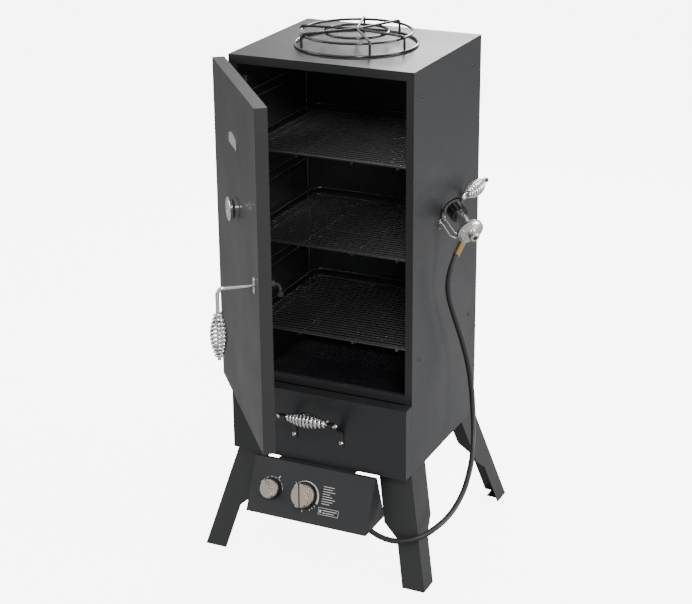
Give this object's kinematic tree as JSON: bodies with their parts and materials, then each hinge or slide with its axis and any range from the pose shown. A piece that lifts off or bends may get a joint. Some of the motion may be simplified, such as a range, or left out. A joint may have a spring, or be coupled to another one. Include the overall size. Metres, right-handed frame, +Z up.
{
  "type": "vertical gas smoker cabinet",
  "caption": "Upright sheet steel smoker cabinet on splayed legs, with a hinged door, wire grates, a burner drawer, coil handles, a leaning gas control panel, hose and regulator.",
  "frame": {"origin": "on the floor, centred under the smoker's overall box measured without the gas hose and regulator", "axes": "+X to the smoker's right as seen from the front, +Y from the door to the back, +Z up"},
  "size_m": [0.5662, 0.7964, 1.1303],
  "materials": {
    "cabinet_paint": "satin black powder coat",
    "door_paint": "satin black powder coat",
    "inner_paint": "matt black paint",
    "leg_paint": "satin black powder coat",
    "strap_paint": "gloss black paint",
    "rack_wire": "gloss black enamel on wire",
    "chrome": "bright chrome plate",
    "hinge_steel": "zinc plated",
    "dial_white": "printed dial card",
    "needle_red": "red paint",
    "lens_glass": "clear",
    "pan_enamel": "dark porcelain enamel",
    "cast_iron": "raw cast",
    "black_plastic": "moulded",
    "brass": "turned",
    "knob_nickel": "satin nickel",
    "electrode_ceramic": "glazed ceramic",
    "black_rubber": "smooth",
    "cast_zinc": "die cast, tumbled"
  },
  "bodies": {
    "cabinet": {"left_side_panel": "cabinet_paint", "right_side_panel": "cabinet_paint", "back_panel": "cabinet_paint", "top_panel": "cabinet_paint", "bottom_panel": "cabinet_paint", "front_frame": "cabinet_paint", "rack_guides": "rack_wire", "cabinet_screws": "chrome", "drawer_runners": "inner_paint", "front_left_leg": "leg_paint", "front_right_leg": "leg_paint", "back_left_leg": "leg_paint", "back_right_leg": "leg_paint", "leg_bolts": "chrome", "cabinet_hinge_leaves": "hinge_steel", "right_handle_arms": "strap_paint", "left_handle_arms": "strap_paint", "side_handle_rods": "chrome", "right_coil_grip": "chrome", "left_coil_grip": "chrome", "control_panel": "cabinet_paint", "knob_bezels": "black_plastic", "gas_valve": "brass", "piezo_igniter": "black_plastic", "igniter_electrode": "electrode_ceramic", "igniter_wire": "black_rubber", "burner_tube": "cast_iron", "burner": "cast_iron", "regulator_hook": "chrome", "gas_hose": "black_rubber", "hose_ferrule": "brass", "regulator_body": "cast_zinc", "regulator_cap": "cast_zinc"},
    "regulator_nut": {"connector_nut": "black_plastic"},
    "door": {"door_hinge_leaves": "hinge_steel", "door_pan": "door_paint", "door_liner": "inner_paint", "name_badge": "chrome", "thermometer_case": "chrome", "thermometer_dial": "dial_white", "thermometer_lens": "lens_glass", "latch_escutcheon": "chrome"},
    "needle": {"thermometer_needle": "needle_red"},
    "latch": {"latch_rod": "chrome", "latch_coil_grip": "chrome", "latch_tongue": "strap_paint"},
    "drawer": {"drawer_front": "cabinet_paint", "drawer_tray": "inner_paint", "drawer_handle_arms": "strap_paint", "drawer_handle_rod": "chrome", "drawer_coil_grip": "chrome"},
    "water_pan": {"water_pan": "pan_enamel"},
    "chip_tray": {"chip_tray": "cast_iron"},
    "lower_grate": {"lower_grate": "rack_wire"},
    "middle_grate": {"middle_grate": "rack_wire"},
    "upper_grate": {"upper_grate": "rack_wire"},
    "top_rack": {"top_wire_rack": "rack_wire"},
    "gas_stem": {"valve_stem": "brass"},
    "gas_knob": {"gas_knob": "knob_nickel"},
    "igniter_knob": {"igniter_knob": "knob_nickel"}
  },
  "joints": [
    {"name": "door_hinge", "type": "hinge", "parent": "cabinet", "child": "door", "pos_m": [-0.2082, -0.0273, 0.744], "axis": [0, 0, -1], "range_deg": [-50.5, 129.5]},
    {"name": "thermometer_turn", "type": "hinge", "parent": "door", "child": "needle", "pos_m": [-0.1091, -0.21543, 0.836], "axis": [0.7716, 0.6361, 0], "range_deg": [0, 270], "stiffness_Nm_per_rad": 0.002},
    {"name": "latch_turn", "type": "hinge", "parent": "door", "child": "latch", "pos_m": [0.00638, -0.33666, 0.736], "axis": [-0.7716, -0.6361, 0], "range_deg": [0, 90]},
    {"name": "drawer_slide", "type": "slide", "parent": "cabinet", "child": "drawer", "axis": [0, -1, 0], "range_m": [0, 0.29]},
    {"name": "water_pan_lift", "type": "slide", "parent": "drawer", "child": "water_pan", "axis": [0, 0, 1], "range_m": [0, 0.1]},
    {"name": "chip_tray_lift", "type": "slide", "parent": "drawer", "child": "chip_tray", "axis": [0, 0, 1], "range_m": [0, 0.015]},
    {"name": "lower_grate_slide", "type": "slide", "parent": "cabinet", "child": "lower_grate", "axis": [0, -1, 0], "range_m": [0, 0.04]},
    {"name": "middle_grate_slide", "type": "slide", "parent": "cabinet", "child": "middle_grate", "axis": [0, -1, 0], "range_m": [0, 0.04]},
    {"name": "upper_grate_slide", "type": "slide", "parent": "cabinet", "child": "upper_grate", "axis": [0, -1, 0], "range_m": [0, 0.04]},
    {"name": "top_rack_lift", "type": "slide", "parent": "cabinet", "child": "top_rack", "axis": [0, 0, 1], "range_m": [0, 0.15]},
    {"name": "nut_spin", "type": "hinge", "parent": "cabinet", "child": "regulator_nut", "pos_m": [0.23, 0.1375, 0.767], "axis": [0.7056, -0.5858, -0.3987], "continuous": true},
    {"name": "gas_knob_push", "type": "slide", "parent": "cabinet", "child": "gas_stem", "axis": [0, 0.9026, -0.4306], "range_m": [0, 0.004], "stiffness_N_per_m": 1500, "springref_m": -0.001},
    {"name": "gas_knob_turn", "type": "hinge", "parent": "gas_stem", "child": "gas_knob", "pos_m": [-0.012, -0.10606, 0.17423], "axis": [0, -0.9026, 0.4306], "range_deg": [0, 240]},
    {"name": "igniter_knob_turn", "type": "hinge", "parent": "cabinet", "child": "igniter_knob", "pos_m": [-0.091, -0.10606, 0.17423], "axis": [0, 0.9026, -0.4306], "range_deg": [0, 90], "stiffness_Nm_per_rad": 0.25}
  ]
}
